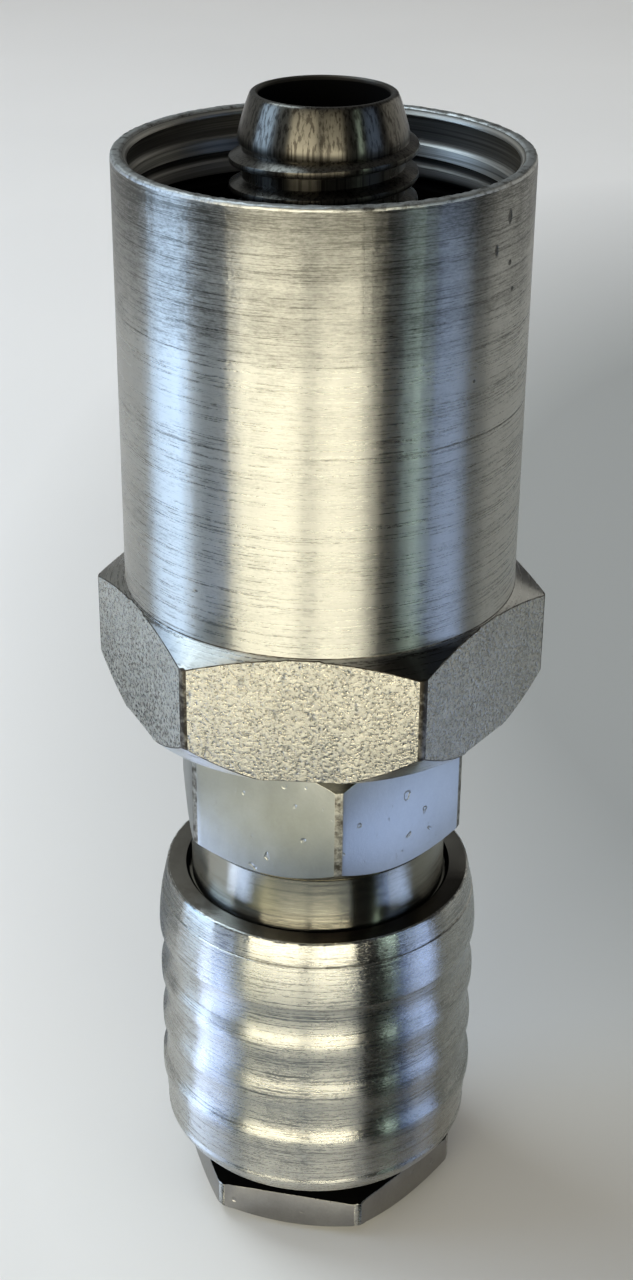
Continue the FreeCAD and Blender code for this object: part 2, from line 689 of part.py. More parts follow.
def make_back_up_ring():
    """Back-up ring: a flat ring that keeps the mouth seal out of the sliding gap."""
    low, high = mouth_seal_groove()
    return turned("back_up_ring", ring_corners(
        body_bore_r, seal_outer_r(), low, plus(low, "back_up_thick")))


def make_plug_body():
    """Plug body: hexagon, collar and probe in one piece, with a ball race and a threaded port."""
    half_af = over("plug_hex_af", 2)
    foot_rise = times(minus("plug_hex_corner_r", "plug_hex_foot_r"), slope_of("plug_hex_slope"))
    collar_top = plus(hex_top, "plug_collar_high")
    body = turned("plug_body", [
        (plus("port_r", "port_chamfer"), 0),
        ("plug_hex_foot_r", 0),
        ("plug_hex_corner_r", foot_rise),
        ("plug_hex_corner_r", hex_top),
        ("plug_collar_r", hex_top),
        ("plug_collar_r", collar_top),
        ("probe_r", collar_top),
        ("probe_r", minus(away("face_space", "plug"), "probe_tip_chamfer")),
        (minus("probe_r", "probe_tip_chamfer"), away("face_space", "plug")),
        ("mouth_hole_r", away("face_space", "plug")),
        ("mouth_hole_r", away(seat_start, "plug")),
        ("chamber_r", away(seat_end, "plug")),
        ("chamber_r", "port_deep"),
        ("port_r", "port_deep"),
        ("port_r", "port_chamfer"),
    ], "plug_turn")
    mill_hexagon(body, "plug_flats", "plug_hex_af", 0, hex_top)
    reach = plus("ball_r", "ball_play")
    floor_half = times(reach, "tan(22.5)")
    race_r = minus(ball_circle_r, reach)
    mouth_r = plus("probe_r", "cut_past")
    mouth_half = plus(floor_half, minus(mouth_r, race_r))
    cut_ring(body, "ball_race", [
        (race_r, minus(ball_z, floor_half)), (mouth_r, minus(ball_z, mouth_half)),
        (mouth_r, plus(ball_z, mouth_half)), (race_r, plus(ball_z, floor_half))])
    cut_ring(body, "clip_groove", ring_corners(
        minus("chamber_r", "cut_past"), plus("chamber_r", "clip_deep"),
        away(clip_far, "plug"), away(guide_far, "plug")))
    return body


def cone_r(distance):
    """Radius of the valve's cone at that distance from the meeting plane."""
    return plus(cone_low_r, minus(distance, head_top))


def make_valve(half):
    """Valve: nose, coned head and stem in one turned piece, standing open against its twin."""
    return turned(half + "_valve", [
        (0, away(0, half)),
        ("valve_nose_r", away(0, half)),
        ("valve_nose_r", away(head_top, half)),
        (cone_low_r, away(head_top, half)),
        (cone_r(seal_near), away(seal_near, half)),
        (seal_in_r, away(seal_near, half)),
        (seal_in_r, away(seal_far, half)),
        (cone_r(seal_far), away(seal_far, half)),
        (valve_head_r, away(cone_end, half)),
        (valve_head_r, away(head_back, half)),
        ("valve_stem_r", away(head_back, half)),
        ("valve_stem_r", away(stem_end, half)),
        (0, away(stem_end, half)),
    ])


def make_valve_seal(half):
    """Valve seal: a moulded ring let into the valve's cone, flush with it."""
    return turned(half + "_valve_seal", [
        (seal_in_r, away(seal_near, half)),
        (cone_r(seal_near), away(seal_near, half)),
        (cone_r(seal_far), away(seal_far, half)),
        (seal_in_r, away(seal_far, half)),
    ])


def make_valve_guide(half):
    """Valve guide: a drilled disc with a long hub that the valve's stem slides in."""
    label = half + "_valve_guide"
    stem_hole_r = plus("valve_stem_r", "slide_play")
    disc_r = minus("chamber_r", "slide_play")
    body = turned(label, [
        (stem_hole_r, away(hub_top, half)),
        ("guide_hub_r", away(hub_top, half)),
        ("guide_hub_r", away(guide_near, half)),
        (disc_r, away(guide_near, half)),
        (disc_r, away(guide_far, half)),
        (stem_hole_r, away(guide_far, half)),
    ])
    upper = guide_far if half == "coupler" else guide_near
    sketch = new_sketch(body, "XY_Plane", label + "_hole_outline", lift=away(upper, half))
    draw_circle(sketch, over(plus("guide_hub_r", disc_r), 2), 0, "guide_hole_r")
    hole = body.newObject("PartDesign::Pocket", label + "_hole")
    hole.Profile = sketch
    hole.setExpression("Length", size("guide_disc"))
    sketch.Visibility = False
    repeat_round(body, label + "_holes", [hole], "guide_hole_count")
    return body


def make_guide_clip(half):
    """Guide clip: a snap ring in the chamber that keeps the guide in."""
    label = half + "_guide_clip"
    outer_r = minus(plus("chamber_r", "clip_deep"), "slide_play")
    ends = sorted([away(guide_far, half), away(clip_far, half)], key=number)
    body = turned(label, ring_corners(minus(outer_r, "clip_wide"), outer_r, ends[0], ends[1]))
    cut_slot(body, label + "_gap", "clip_cut", ends[0], ends[1], plus(outer_r, "cut_past"))
    return body


def make_valve_spring(half):
    """Valve spring: wound round the guide's hub, from the guide's disc to the valve's back."""
    ends = sorted([away(head_back, half), away(guide_near, half)], key=number)
    return coil(half + "_valve_spring", plus("guide_hub_r", "spring_play"), "valve_wire",
                ends[0], ends[1], "valve_coils")


def build():
    """All the pieces, coupler half first."""
    pieces = [
        make_socket(),
        make_hose_tail(),
        make_body_seal(),
        make_coupler_body(),
        make_locking_balls(),
        make_locking_sleeve(),
        coil("sleeve_spring", plus(body_r, "spring_play"), "sleeve_wire",
             land_top, skirt_low, "sleeve_coils"),
        make_stop_ring(),
        make_mouth_seal(),
        make_back_up_ring(),
        make_plug_body(),
    ]
    for half in ("coupler", "plug"):
        pieces += [
            make_valve(half),
            make_valve_seal(half),
            make_valve_guide(half),
            make_guide_clip(half),
            make_valve_spring(half),
        ]
    return pieces


def check_and_write(pieces):
    """Every object is sound and every piece is one closed solid, apart from the group of balls."""
    doc.recompute()
    for item in doc.Objects:
        if "Invalid" in item.State or "Error" in item.State:
            raise RuntimeError("%s failed: %s" % (item.Name, item.State))
    os.makedirs("parts", exist_ok=True)
    for piece in pieces:
        shape = piece.Shape
        if shape.isNull() or not shape.isValid():
            raise RuntimeError("%s has no valid shape" % piece.Label)
        expected = count("ball_count") if piece.Label == "locking_balls" else 1
        if len(shape.Solids) != expected:
            raise RuntimeError("%s has %d solids" % (piece.Label, len(shape.Solids)))
        shape.exportStep("parts/%s.step" % piece.Label)
        print("%-22s %8.1f mm3" % (piece.Label, shape.Volume))


check_and_write(build())
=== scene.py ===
import math
import bpy
from mathutils import Matrix, Vector


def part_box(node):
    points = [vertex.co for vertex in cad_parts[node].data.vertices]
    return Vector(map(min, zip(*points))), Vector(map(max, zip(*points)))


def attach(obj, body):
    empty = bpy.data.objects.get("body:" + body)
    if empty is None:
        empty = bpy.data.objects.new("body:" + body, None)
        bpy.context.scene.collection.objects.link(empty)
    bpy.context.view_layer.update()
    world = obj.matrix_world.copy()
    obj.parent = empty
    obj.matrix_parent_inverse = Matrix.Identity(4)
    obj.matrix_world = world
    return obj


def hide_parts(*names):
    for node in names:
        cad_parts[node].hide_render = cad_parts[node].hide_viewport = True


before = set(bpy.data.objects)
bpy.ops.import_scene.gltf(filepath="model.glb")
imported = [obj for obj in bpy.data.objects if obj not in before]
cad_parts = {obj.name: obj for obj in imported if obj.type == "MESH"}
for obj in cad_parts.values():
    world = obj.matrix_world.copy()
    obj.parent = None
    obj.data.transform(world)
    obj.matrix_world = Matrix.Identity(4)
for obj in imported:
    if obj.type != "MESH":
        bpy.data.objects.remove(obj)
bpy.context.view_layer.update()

MM = 0.001
FLATS = 6
TURN_STEPS = 240
THREAD_STEPS = 120

# In mm, how near two corners are to be one, and how near a place a corner or face is to lie on it.
WELD = 0.001
NEAR = 0.02

# Heights come from the frame, in mm. Radii are the ones that show.
plug_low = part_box("plug_body")[0].z / MM
sleeve_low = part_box("locking_sleeve")[0].z / MM
sleeve_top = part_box("locking_sleeve")[1].z / MM
tail_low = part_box("hose_tail")[0].z / MM
nose_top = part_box("hose_tail")[1].z / MM
socket_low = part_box("socket")[0].z / MM
socket_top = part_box("socket")[1].z / MM
probe_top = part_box("plug_body")[1].z / MM
body_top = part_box("coupler_body")[1].z / MM

# The three hexagons: size across flats and the direction of their first flat.
socket_af, socket_turn = 31.75, -94.57
tail_af, tail_turn = 22.225, 7.68
plug_af, plug_turn = 21.8, 17.35

# The socket's cylinder, and the middle of the ledge on top of its hexagon.
cylinder_r = 15.71
ledge_r = 17.2
ledge_high = socket_low + 9.8

# Finger grooves: depth of the crest's sharp lower line below the top, radius there, radius below.
GRIP_GROOVES = [
    (6.1, 13.82, 13.36),
    (11.1, 13.78, 13.45),
    (16.1, 13.76, 13.43),
    (21.0, 13.86, 13.54),
]


# Tools for shaping a piece

def deselect():
    """Nothing is selected and no piece is being edited."""
    if bpy.context.object and bpy.context.object.mode == "EDIT":
        bpy.ops.object.mode_set(mode="OBJECT")
    bpy.ops.object.select_all(action="DESELECT")


def take(piece):
    """The piece alone is selected and active."""
    deselect()
    piece.select_set(True)
    bpy.context.view_layer.objects.active = piece


def edit(piece):
    """Opens one piece for editing with all of it selected."""
    take(piece)
    bpy.ops.object.mode_set(mode="EDIT")
    bpy.ops.mesh.select_all(action="SELECT")


def edit_edges(piece, chosen):
    """Opens one piece for editing with the edges selected whose two ends, in mm, are chosen."""
    edit(piece)
    bpy.ops.mesh.select_mode(type="EDGE")
    bpy.ops.mesh.select_all(action="DESELECT")
    bpy.ops.object.mode_set(mode="OBJECT")
    vertices = piece.data.vertices
    for edge in piece.data.edges:
        first, second = (vertices[k].co / MM for k in edge.vertices)
        edge.select = chosen(first, second)
    bpy.ops.object.mode_set(mode="EDIT")


def settle(piece):
    """Puts the piece's place, turn and scale into its mesh."""
    take(piece)
    bpy.ops.object.transform_apply(location=True, rotation=True, scale=True)


def add_modifier(piece, kind, **settings):
    """Adds one modifier to the piece and applies it."""
    take(piece)
    modifier = piece.modifiers.new(kind.title(), kind)
    for key, value in settings.items():
        setattr(modifier, key, value)
    bpy.ops.object.modifier_apply(modifier=modifier.name)


def widen_rings(outline):
    """From the ring that is selected, one more ring for each further corner of the half section."""
    radius, height = outline[0]
    for next_radius, next_height in outline[1:]:
        rise = (next_height - height) * MM
        bpy.ops.mesh.extrude_region_move(TRANSFORM_OT_translate={"value": (0, 0, rise)})
        share = next_radius / radius
        bpy.ops.transform.resize(
            value=(share, share, 1), center_override=(0, 0, next_height * MM))
        radius, height = next_radius, next_height


def turned(name, outline, finishes):
    """A closed turned piece from the (radius, height) corners round its half section, in mm."""
    deselect()
    radius, height = outline[0]
    bpy.ops.mesh.primitive_circle_add(
        vertices=TURN_STEPS, radius=radius * MM, location=(0, 0, height * MM))
    piece = bpy.context.object
    piece.name = name
    settle(piece)
    edit(piece)
    bpy.ops.mesh.select_mode(type="EDGE")
    widen_rings(outline + outline[:1])
    bpy.ops.mesh.select_all(action="SELECT")
    bpy.ops.mesh.remove_doubles(threshold=WELD * MM)
    bpy.ops.mesh.select_all(action="SELECT")
    bpy.ops.mesh.normals_make_consistent(inside=False)
    bpy.ops.object.mode_set(mode="OBJECT")
    give(piece, *finishes)
    return piece


def flat_directions(turn):
    """The six ways that a hexagon's flats face."""
    angles = [math.radians(turn + 360 / FLATS * k) for k in range(FLATS)]
    return [Vector((math.cos(angle), math.sin(angle), 0)) for angle in angles]


def mill_flats(piece, across_flats, turn, slot):
    """Six flats milled on what stands out past them. They take the finish in that slot."""
    same_way = 0.9999
    for outward in flat_directions(turn):
        edit(piece)
        bpy.ops.mesh.bisect(
            plane_co=outward * across_flats / 2 * MM, plane_no=outward,
            use_fill=True, clear_outer=True)
    bpy.ops.object.mode_set(mode="OBJECT")
    for outward in flat_directions(turn):
        give_faces(piece, slot, lambda centre, normal: normal.dot(outward) > same_way
                   and abs(centre.dot(outward) - across_flats / 2) < NEAR)


def round_corners(piece, radius, low, high, width, slot):
    """Rounds the upright corners that lie between two heights, outside a radius."""
    plumb = 0.002

    def upright(first, second):
        return (abs(first.x - second.x) + abs(first.y - second.y) < plumb
                and min(first.xy.length, second.xy.length) > radius
                and low < (first.z + second.z) / 2 < high)

    edit_edges(piece, upright)
    bpy.ops.mesh.bevel(offset=width * MM, segments=3, affect="EDGES", material=slot)
    bpy.ops.object.mode_set(mode="OBJECT")


def break_edges(piece, width, slot, angle=26):
    """A small rounding on every corner that is sharper than the angle."""
    add_modifier(piece, "BEVEL", width=width * MM, segments=2, limit_method="ANGLE",
                 angle_limit=math.radians(angle), material=slot)


def batter(piece, radius, height, amount, seed):
    """Knocks the ring of corners at that radius and height a little out of true."""
    edit_edges(piece, lambda first, second: all(
        abs(end.xy.length - radius) < NEAR and abs(end.z - height) < NEAR
        for end in (first, second)))
    bpy.ops.transform.vertex_random(offset=amount * MM, uniform=1.0, seed=seed)
    bpy.ops.object.mode_set(mode="OBJECT")


def wind(name, section, pitch, turns, start_angle, root_r, finish):
    """A thread wound upwards from a closed section of (radius, height) corners, in mm.
    Both of its ends run out into the root radius."""
    deselect()
    corners = len(section)
    bpy.ops.mesh.primitive_circle_add(vertices=corners, radius=MM)
    piece = bpy.context.object
    piece.name = name
    for vertex, (radius, height) in zip(piece.data.vertices, section):
        vertex.co = Vector((radius * MM, 0, height * MM))
    edit(piece)
    bpy.ops.transform.rotate(
        value=-math.radians(start_angle), orient_axis="Z", center_override=(0, 0, 0))
    bpy.ops.mesh.edge_face_add()
    bpy.ops.object.mode_set(mode="OBJECT")
    steps = THREAD_STEPS * turns
    add_modifier(piece, "SCREW", angle=math.tau * turns, screw_offset=pitch * turns * MM,
                 steps=steps, render_steps=steps, iterations=1,
                 use_normal_calculate=True, use_merge_vertices=True)
    run_out = THREAD_STEPS // 6
    for k, vertex in enumerate(piece.data.vertices):
        step = k // corners
        share = min(step, steps - step, run_out) / run_out
        radius = vertex.co.xy.length / MM
        vertex.co.xy *= (root_r + (radius - root_r) * share) / radius
    give(piece, finish)
    return piece


def join(main, *others):
    """The others become part of the main piece."""
    deselect()
    for other in others:
        other.select_set(True)
    main.select_set(True)
    bpy.context.view_layer.objects.active = main
    bpy.ops.object.join()


def smooth(piece, angle=32):
    """Smooth shading, with the corners that are sharper than the angle kept."""
    take(piece)
    bpy.ops.object.shade_smooth_by_angle(angle=math.radians(angle))


def give(piece, *finishes):
    """Puts the finishes in the piece's slots."""
    piece.data.materials.clear()
    for finish in finishes:
        piece.data.materials.append(finish)


def give_faces(piece, slot, chosen):
    """The faces whose centre, in mm, and normal are chosen take the finish in that slot."""
    for face in piece.data.polygons:
        if chosen(face.center / MM, face.normal):
            face.material_index = slot


# Finishes

class Value:
    """A number or colour that varies over a surface. Sums and products of it add Math nodes."""

    def __init__(self, finish, socket):
        self.finish = finish
        self.socket = socket

    def maths(self, operation, first, second):
        return self.finish.node("ShaderNodeMath", {"operation": operation}, {0: first, 1: second})

    def __add__(self, other):
        return self.maths("ADD", self, other)

    def __radd__(self, other):
        return self.maths("ADD", other, self)

    def __sub__(self, other):
        return self.maths("SUBTRACT", self, other)

    def __rsub__(self, other):
        return self.maths("SUBTRACT", other, self)

    def __mul__(self, other):
        return self.maths("MULTIPLY", self, other)

    def __rmul__(self, other):
        return self.maths("MULTIPLY", other, self)


class Shading:
    """A node tree, and short ways to add to it."""

    def __init__(self, tree):
        self.tree = tree

    def node(self, kind, settings=None, sockets=None, output=0):
        """Adds a node: its settings first, then the values or links of its sockets."""
        node = self.tree.nodes.new(kind)
        for key, value in (settings or {}).items():
            if key == "stops":
                self.set_stops(node.color_ramp, value)
            else:
                setattr(node, key, value)
        for key, value in (sockets or {}).items():
            if isinstance(value, Value):
                self.tree.links.new(value.socket, node.inputs[key])
            else:
                node.inputs[key].default_value = value
        return Value(self, node.outputs[output])

    def set_stops(self, ramp, stops):
        """The places and grey levels or colours of a ramp's stops."""
        while len(ramp.elements) < len(stops):
            ramp.elements.new(0.5)
        for element, (place, colour) in zip(ramp.elements, stops):
            element.position = place
            element.color = colour if isinstance(colour, tuple) else (colour, colour, colour, 1)

    def place(self, scale=(1, 1, 1)):
        """The piece's own coordinates in mm, each stretched by its scale."""
        coordinates = self.node("ShaderNodeTexCoord", output="Object")
        return self.node("ShaderNodeVectorMath", {"operation": "MULTIPLY"},
                         {0: coordinates, 1: tuple(s / MM for s in scale)})

    def height(self):
        """The height above the floor in mm."""
        return self.node("ShaderNodeSeparateXYZ", {}, {0: self.place()}, output=2)

    def noise(self, scale, detail=3, roughness=0.55):
        """Cloudy noise with that many lumps to a mm along x, y and z."""
        return self.node("ShaderNodeTexNoise", {},
                         {"Vector": self.place(scale), "Scale": 1.0,
                          "Detail": detail, "Roughness": roughness})

    def steps(self, value, *stops):
        """The value passed through a ramp, as a number."""
        return self.node("ShaderNodeValToRGB", {"stops": stops}, {"Fac": value})

    def ring(self, height, width):
        """One on a line round the piece at that height, nothing outside its width."""
        away = self.node("ShaderNodeMath", {"operation": "ABSOLUTE"}, {0: self.height() - height})
        return self.steps(away * (1 / width), (0.3, 1.0), (1.0, 0.0))

    def spot(self, azimuth, radius, height, size):
        """One in a soft spot, nothing outside it. Its size is its half width along x, y and z."""
        a = math.radians(azimuth)
        centre = (radius * math.sin(a), -radius * math.cos(a), height)
        away = self.node("ShaderNodeVectorMath", {"operation": "SUBTRACT"},
                         {0: self.place(), 1: centre})
        shaped = self.node("ShaderNodeVectorMath", {"operation": "DIVIDE"}, {0: away, 1: size})
        length = self.node("ShaderNodeVectorMath", {"operation": "LENGTH"}, {0: shaped}, output=1)
        return self.steps(length, (0.5, 1.0), (1.0, 0.0))

    def mix(self, share, first, second):
        """A colour between two colours."""
        return self.node("ShaderNodeMix", {"data_type": "RGBA"},
                         {0: share, 6: first, 7: second}, output=2)


class Finish(Shading):
    """A material of one plain surface, metal unless told otherwise."""

    def __init__(self, name, metallic=1.0, anisotropy=0.0):
        self.material = bpy.data.materials.new(name)
        self.material.use_nodes = True
        super().__init__(self.material.node_tree)
        self.surface = self.tree.nodes["Principled BSDF"]
        self.surface.inputs["Metallic"].default_value = metallic
        self.surface.inputs["Anisotropic"].default_value = anisotropy
        self.surface.inputs["Anisotropic Rotation"].default_value = 0.25 if anisotropy else 0.0

    def use(self, **links):
        """Links values to the surface's sockets, named with underscores."""
        for key, value in links.items():
            socket = self.surface.inputs[key.replace("_", " ").title()]
            if isinstance(value, Value):
                self.tree.links.new(value.socket, socket)
            else:
                socket.default_value = value

    def bump(self, height, depth):
        """Relief of that depth in mm."""
        self.use(normal=self.node("ShaderNodeBump", {},
                                  {"Height": height, "Strength": 1.0, "Distance": depth * MM}))


# Brown of the spots of painted shade on the steel.
PAINTED_SHADE_BROWN = (0.02, 0.016, 0.012, 1)
# Black of the painted shade deep in hollows.
SHADE_BLACK = (0.003, 0.003, 0.003, 1)


def turned_steel(name, light, dark, gloss=(0.25, 0.37), line_depth=0.045,
                 scores=(), dents=(), painted_shade_spots=(), dark_top_height=None):
    """Plated steel off the lathe: thin dark lines round the axis, short glints, streaks and clouds.
    The gloss is the roughness of the lines and of the ground between them. The scores are heights
    of single dark lines. Each dent, or brown spot of painted shade, is a spot's azimuth, radius,
    height and size. Below the top height given, the steel gets darker and duller towards it."""
    finish = Finish(name, anisotropy=1.0)
    fine = finish.noise((0.05, 0.05, 8.5), detail=2, roughness=0.6)
    short = finish.noise((0.7, 0.7, 7.0), detail=3, roughness=0.7)
    speckle = finish.noise((3.6, 3.6, 7.5), detail=2)
    broad = finish.noise((0.03, 0.03, 1.0), detail=3)
    stain = finish.noise((0.2, 0.2, 0.16), detail=4)
    lines = finish.steps(fine * 0.8 + short * 0.2, (0.42, 0.0), (0.47, 1.0))
    glints = finish.steps(short * 0.6 + speckle * 0.4, (0.4, 0.0), (0.6, 1.0))
    shade = 0.15 + lines * 0.3 + glints * 0.35 + (broad + stain - 0.5) * 0.5
    relief = fine * 0.4 + short * 0.3 + speckle * 0.3
    for height in scores:
        score = finish.ring(height, 0.1) * finish.steps(stain, (0.42, 0.1), (0.54, 1.0))
        shade = shade - score * 0.5
        lines = lines - score
    for spot in dents:
        dent = finish.spot(*spot) * finish.steps(short, (0.35, 0.2), (0.5, 1.0))
        shade = shade - dent
        relief = relief - dent
    ground = lines * 0.7 + glints * 0.3
    dullness = gloss[0] + ground * (gloss[1] - gloss[0]) + 0.06 * (stain - 0.5)
    # Darker and duller towards the top height given.
    if dark_top_height:
        top_darkening = finish.steps((dark_top_height - finish.height()) * 0.07 + (stain - 0.5) * 0.8,
                              (0.1, 1.0), (0.9, 0.0))
        shade = shade - top_darkening * 0.5
        dullness = dullness + top_darkening * 0.06
    colour = finish.mix(finish.steps(shade, (0.1, 0.0), (0.9, 1.0)), dark, light)
    # Painted shade: brown spots where the steel shows dark reflections and shade.
    for spot in painted_shade_spots:
        colour = finish.mix(finish.spot(*spot) * 0.9, colour, PAINTED_SHADE_BROWN)
    finish.use(base_color=colour, roughness=dullness)
    finish.bump(relief, line_depth)
    return finish.material


def grained_steel(name, light, dark, depth):
    """The large hexagon's flats: a coarse bright grain of that depth, with a few dark pits."""
    finish = Finish(name, anisotropy=0.7)
    grain = finish.noise((3.2, 3.2, 3.7), detail=2, roughness=0.7)
    broad = finish.noise((0.3, 0.3, 0.3), detail=3)
    pits = finish.steps(finish.noise((1.3, 1.3, 0.7), detail=3), (0.64, 0.0), (0.72, 1.0))
    facets = finish.steps(grain, (0.4, 0.0), (0.6, 1.0))
    shade = facets * 0.6 + broad * 0.4 - pits * 0.5
    finish.use(base_color=finish.mix(shade, dark, light), roughness=0.17 + 0.3 * facets)
    finish.bump(grain - pits * 0.3, depth)
    return finish.material


def pitted_steel(name, light, dark):
    """The smaller hexagons' flats: drawn smooth, with faint clouds, scratches and bright pits."""
    finish = Finish(name)
    cloud = finish.noise((0.35, 0.35, 0.25), detail=4, roughness=0.6)
    fine = finish.noise((4.0, 4.0, 4.0), detail=2)
    pits = finish.steps(finish.noise((0.9, 0.9, 0.8), detail=1), (0.7, 0.0), (0.76, 1.0))
    scratch = finish.steps(finish.noise((1.6, 1.6, 0.5), detail=4, roughness=0.7),
                           (0.27, 1.0), (0.33, 0.0))
    shade = cloud * 0.8 + fine * 0.2 - scratch * 0.4
    finish.use(base_color=finish.mix(finish.steps(shade, (0.2, 0.0), (0.8, 1.0)), dark, light),
               roughness=0.3 + 0.12 * cloud)
    finish.bump(fine * 0.2 - pits - scratch * 0.4, 0.05)
    return finish.material


def worn_edge(name, light, dark, wear=0.5):
    """Edges and corners with the plating gone: brown, nicked, with bright specks."""
    finish = Finish(name)
    nicks = finish.noise((1.8, 1.8, 1.8), detail=4, roughness=0.65)
    broad = finish.noise((0.5, 0.5, 0.5), detail=2)
    bare = finish.steps(nicks * 0.75 + broad * 0.25, (wear - 0.1, 0.0), (wear + 0.1, 1.0))
    finish.use(base_color=finish.mix(bare, dark, light), roughness=0.36 + 0.2 * nicks)
    finish.bump(nicks, 0.06)
    return finish.material


def hollow_steel(name, light, dark, top, depth, crest_r=None):
    """Inside a hollow: turned steel, with painted shade that turns it black from the top down to
    the depth and behind the crests of a thread."""
    finish = Finish(name, anisotropy=0.8)
    finish.surface.inputs["Specular IOR Level"].default_value = 0.0
    lines = finish.noise((0.06, 0.06, 6.0), detail=3)
    # Painted shade: black deepening into the hollow and behind the thread's crests.
    painted_shade = finish.steps((top - finish.height()) * (1 / depth), (0.0, 0.0), (1.0, 1.0))
    if crest_r:
        away = finish.node("ShaderNodeVectorMath", {"operation": "LENGTH"},
                           {0: finish.place((1, 1, 0))}, output=1)
        painted_shade = painted_shade + (1 - painted_shade) * finish.steps(away - crest_r, (0.06, 0.0), (0.3, 0.85))
    marked = finish.mix(finish.steps(lines, (0.35, 0.0), (0.6, 1.0)), dark, light)
    finish.use(base_color=finish.mix(painted_shade, marked, SHADE_BLACK),
               metallic=1.0 - painted_shade, roughness=0.38 + 0.2 * lines)
    finish.bump(lines, 0.006)
    return finish.material


def nose_steel(name, light, dark):
    """The nose: rubbed smooth, scratched lengthwise where hoses went over it."""
    finish = Finish(name, anisotropy=0.9)
    scratches = finish.noise((4.2, 4.2, 0.05), detail=3, roughness=0.6)
    lines = finish.noise((0.3, 0.3, 5.0), detail=2)
    stain = finish.noise((0.5, 0.5, 0.3), detail=3)
    shade = finish.steps(scratches, (0.4, 0.0), (0.52, 1.0)) * 0.5 + stain * 0.5 + lines * 0.1
    finish.use(base_color=finish.mix(finish.steps(shade, (0.2, 0.0), (0.9, 1.0)), dark, light),
               roughness=0.24 + 0.1 * stain)
    finish.bump(scratches * 0.6 + lines * 0.4, 0.008)
    return finish.material


def plain_metal(name, light, dark, roughness):
    """Springs, balls, valves and clips inside: smooth steel with faint marks."""
    finish = Finish(name)
    marks = finish.noise((0.8, 0.8, 2.4), detail=3)
    finish.use(base_color=finish.mix(marks, dark, light), roughness=roughness + 0.1 * marks)
    finish.bump(marks, 0.004)
    return finish.material


def soft_ring(name, light, dark, roughness):
    """Seals and the plastic ring: fine moulded grain and a dull sheen."""
    finish = Finish(name, metallic=0.0)
    grain = finish.noise((5, 5, 5), detail=3)
    finish.use(base_color=finish.mix(grain, dark, light), roughness=roughness + 0.15 * grain)
    finish.bump(grain, 0.005)
    return finish.material


steel_light = (0.53, 0.52, 0.485, 1)
steel_dark = (0.12, 0.117, 0.105, 1)
cylinder_finish = turned_steel(
    "turned_cylinder", steel_light, steel_dark, scores=(76.0, 82.9), dark_top_height=socket_top,
    dents=(
        (57, cylinder_r, 91.7, (0.2, 0.5, 0.6)),
        (51, cylinder_r, 89.6, (0.18, 0.5, 0.5)),
        (58, cylinder_r, 88.3, (0.16, 0.5, 0.25)),
        (60, cylinder_r, 86.2, (0.15, 0.5, 0.2)),
        (44, cylinder_r, 80.4, (0.13, 0.5, 0.18)),
        (-36, cylinder_r, 64.2, (0.16, 0.5, 0.16)),
    ),
    # Painted shade: brown on the ledge's right side, where the steel reflects darkness.
    painted_shade_spots=(
        (28, ledge_r, ledge_high, (7.5, 7.5, 1.2)),
        (105, ledge_r, ledge_high, (7.5, 7.5, 1.2)),
    ))
sleeve_finish = turned_steel("turned_sleeve", steel_light, steel_dark, gloss=(0.19, 0.29))
neck_finish = turned_steel("turned_neck", (0.34, 0.325, 0.27, 1), (0.19, 0.175, 0.14, 1),
                           gloss=(0.17, 0.22), line_depth=0.015)
socket_flats = grained_steel("grained_flats", (0.66, 0.63, 0.555, 1), (0.26, 0.245, 0.21, 1), 0.2)
tail_flats = pitted_steel("pitted_flats", (0.44, 0.44, 0.41, 1), (0.33, 0.33, 0.3, 1))
plug_flats = pitted_steel("pitted_foot", (0.36, 0.35, 0.335, 1), (0.22, 0.21, 0.2, 1))
edge_finish = worn_edge("worn_edges", (0.27, 0.25, 0.21, 1), (0.045, 0.038, 0.03, 1), wear=0.56)
corner_finish = worn_edge("worn_corners", (0.38, 0.37, 0.33, 1), (0.09, 0.08, 0.065, 1), wear=0.5)
rim_finish = worn_edge("worn_rim", (0.48, 0.475, 0.45, 1), (0.08, 0.07, 0.055, 1), wear=0.42)
# The sleeve's top ring: painted shade, with a darker and browner tone and a brown spot at its
# front.
ring_finish = turned_steel("painted_shade_ring", (0.34, 0.32, 0.28, 1), (0.2, 0.18, 0.15, 1),
                           gloss=(0.2, 0.26), line_depth=0.004,
                           painted_shade_spots=((42, 12, sleeve_top, (19, 12, 1)),))
mouth_finish = hollow_steel("thread_steel", (0.62, 0.6, 0.55, 1), (0.3, 0.29, 0.26, 1),
                            socket_top - 3.3, 2.0, crest_r=14.5)
bore_finish = hollow_steel("bore_steel", (0.1, 0.09, 0.075, 1), (0.04, 0.035, 0.03, 1),
                           nose_top, 0.3)
nose_finish = nose_steel("nose_steel", (0.14, 0.13, 0.11, 1), (0.035, 0.03, 0.025, 1))
steel = plain_metal("inner_steel", (0.5, 0.49, 0.47, 1), (0.3, 0.29, 0.28, 1), 0.3)
spring_steel = plain_metal("spring_steel", (0.4, 0.4, 0.41, 1), (0.22, 0.22, 0.23, 1), 0.35)
ball_steel = plain_metal("ball_steel", (0.66, 0.66, 0.68, 1), (0.5, 0.5, 0.52, 1), 0.12)
rubber = soft_ring("seal_rubber", (0.03, 0.03, 0.03, 1), (0.012, 0.012, 0.012, 1), 0.5)
ring_plastic = soft_ring("ring_plastic", (0.8, 0.78, 0.72, 1), (0.68, 0.66, 0.6, 1), 0.45)


# The pieces

